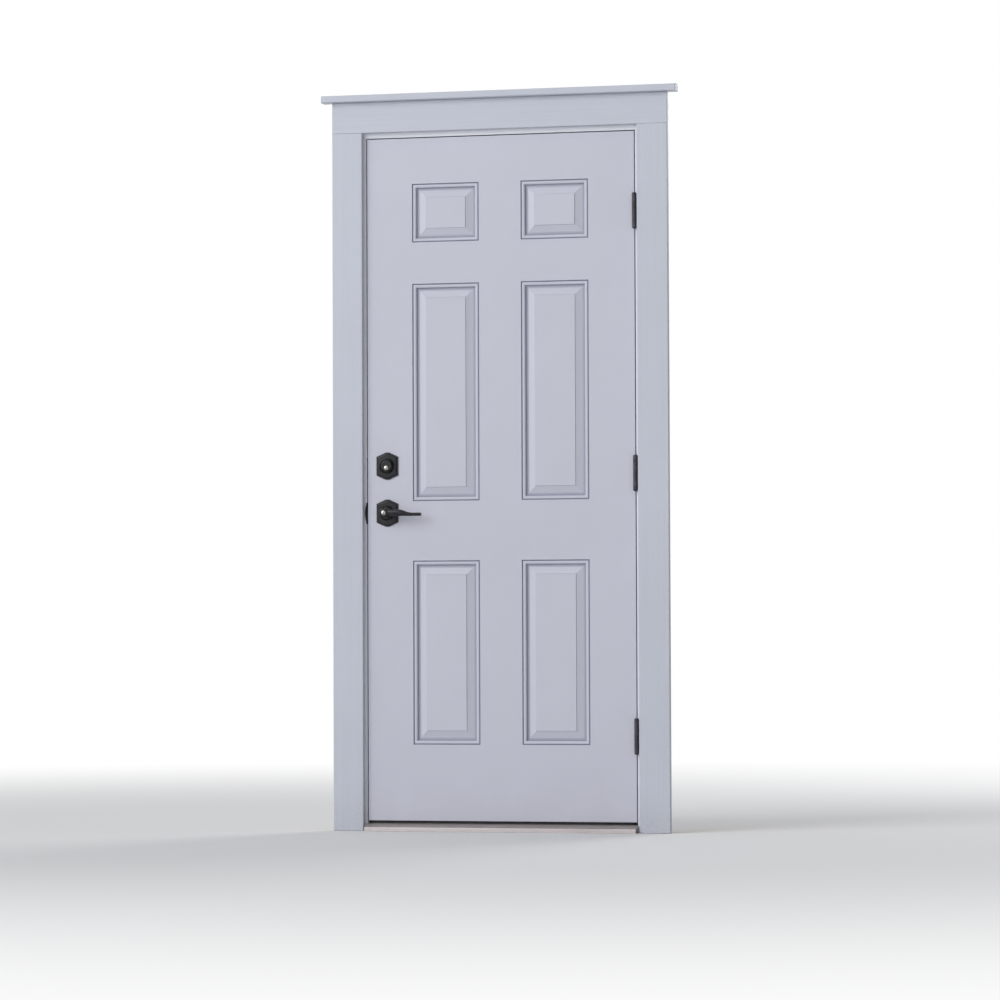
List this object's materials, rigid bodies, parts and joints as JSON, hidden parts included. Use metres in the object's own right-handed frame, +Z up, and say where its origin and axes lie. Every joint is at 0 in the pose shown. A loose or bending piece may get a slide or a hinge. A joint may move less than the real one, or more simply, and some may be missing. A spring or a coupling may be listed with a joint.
{
  "type": "panelled front door with frame",
  "caption": "Prehung front door with raised panels in its rabbeted frame with flat outside trim, butt hinges, threshold, key-in lever latch and deadbolt.",
  "frame": {"origin": "middle of the doorway, on the plane of the wall's outer face, at the underside of the sill", "axes": "+X towards the hinges, +Y into the house, +Z up"},
  "size_m": [1.068, 0.1636, 2.166],
  "materials": {
    "slab_paint": "satin paint on a moulded skin",
    "jamb_paint": "satin paint",
    "trim_paint": "satin paint",
    "inner_wood": "bare",
    "foam": "rigid foam",
    "seal": "matte",
    "threshold_metal": "mill",
    "dark_metal": "satin dark",
    "steel": "plated",
    "plug_metal": "nickel plated"
  },
  "bodies": {
    "frame": {"hinge_jamb": "jamb_paint", "strike_jamb": "jamb_paint", "head_jamb": "jamb_paint", "sill_base": "inner_wood", "threshold": "threshold_metal", "threshold_bumper": "seal", "weatherstrip_hinge_side": "seal", "weatherstrip_strike_side": "seal", "weatherstrip_head": "seal", "casing_right": "trim_paint", "casing_left": "trim_paint", "casing_head": "trim_paint", "casing_cap": "trim_paint", "latch_strike_plate": "dark_metal", "latch_dust_box": "steel", "deadbolt_strike_plate": "dark_metal", "hinge_leaf_jamb_top": "dark_metal", "hinge_leaf_jamb_middle": "dark_metal", "hinge_leaf_jamb_bottom": "dark_metal", "hinge_pin_top": "dark_metal", "hinge_pin_middle": "dark_metal", "hinge_pin_bottom": "dark_metal"},
    "door": {"exterior_skin": "slab_paint", "interior_skin": "slab_paint", "hinge_stile": "inner_wood", "lock_stile": "inner_wood", "top_rail": "inner_wood", "bottom_rail": "inner_wood", "lock_block": "inner_wood", "foam_core": "foam", "door_sweep": "seal", "lever_rose_exterior": "dark_metal", "lever_rose_interior": "dark_metal", "deadbolt_rose_exterior": "dark_metal", "deadbolt_rose_interior": "dark_metal", "latch_case": "steel", "deadbolt_case": "steel", "deadbolt_cylinder": "dark_metal", "hinge_leaf_door_top": "dark_metal", "hinge_leaf_door_middle": "dark_metal", "hinge_leaf_door_bottom": "dark_metal"},
    "lever_set": {"lever_exterior": "dark_metal", "lever_interior": "dark_metal", "spindle": "steel", "latch_cam": "steel"},
    "latch_bolt": {"latch_bolt": "steel"},
    "lever_key_plug": {"lever_key_plug": "plug_metal"},
    "lock_button": {"lock_button": "dark_metal"},
    "thumb_turn": {"thumb_turn": "dark_metal"},
    "deadbolt_bolt": {"deadbolt_bolt": "steel"},
    "deadbolt_key_plug": {"deadbolt_key_plug": "plug_metal"}
  },
  "joints": [
    {"name": "door_swing", "type": "hinge", "parent": "frame", "child": "door", "pos_m": [0.4045, -0.008, 0], "axis": [0, 0, 1], "range_deg": [0, 160]},
    {"name": "lever_turn", "type": "hinge", "parent": "door", "child": "lever_set", "pos_m": [-0.343, 0.02225, 0.9325], "axis": [0, 1, 0], "range_deg": [0, 50], "stiffness_Nm_per_rad": 0.6, "springref_deg": -57.3},
    {"name": "latch_slide", "type": "slide", "parent": "door", "child": "latch_bolt", "axis": [1, 0, 0], "range_m": [0, 0.012]},
    {"name": "lever_key_turn", "type": "hinge", "parent": "lever_set", "child": "lever_key_plug", "pos_m": [-0.343, -0.04, 0.9325], "axis": [0, 1, 0], "range_deg": [-90, 90]},
    {"name": "lock_button_turn", "type": "hinge", "parent": "lever_set", "child": "lock_button", "pos_m": [-0.343, 0.085, 0.9325], "axis": [0, 1, 0], "range_deg": [0, 90]},
    {"name": "deadbolt_turn", "type": "hinge", "parent": "door", "child": "thumb_turn", "pos_m": [-0.343, 0.02225, 1.065], "axis": [0, 1, 0], "range_deg": [0, 90]},
    {"name": "deadbolt_slide", "type": "slide", "parent": "door", "child": "deadbolt_bolt", "axis": [-1, 0, 0], "range_m": [0, 0.0254]},
    {"name": "deadbolt_key_turn", "type": "hinge", "parent": "door", "child": "deadbolt_key_plug", "pos_m": [-0.343, -0.008, 1.065], "axis": [0, 1, 0], "range_deg": [-90, 90]}
  ],
  "couplings": [
    {"joint": "latch_slide", "follows": "lever_turn", "m_per_rad": 0.01375},
    {"joint": "deadbolt_slide", "follows": "deadbolt_turn", "m_per_rad": 0.01617}
  ]
}
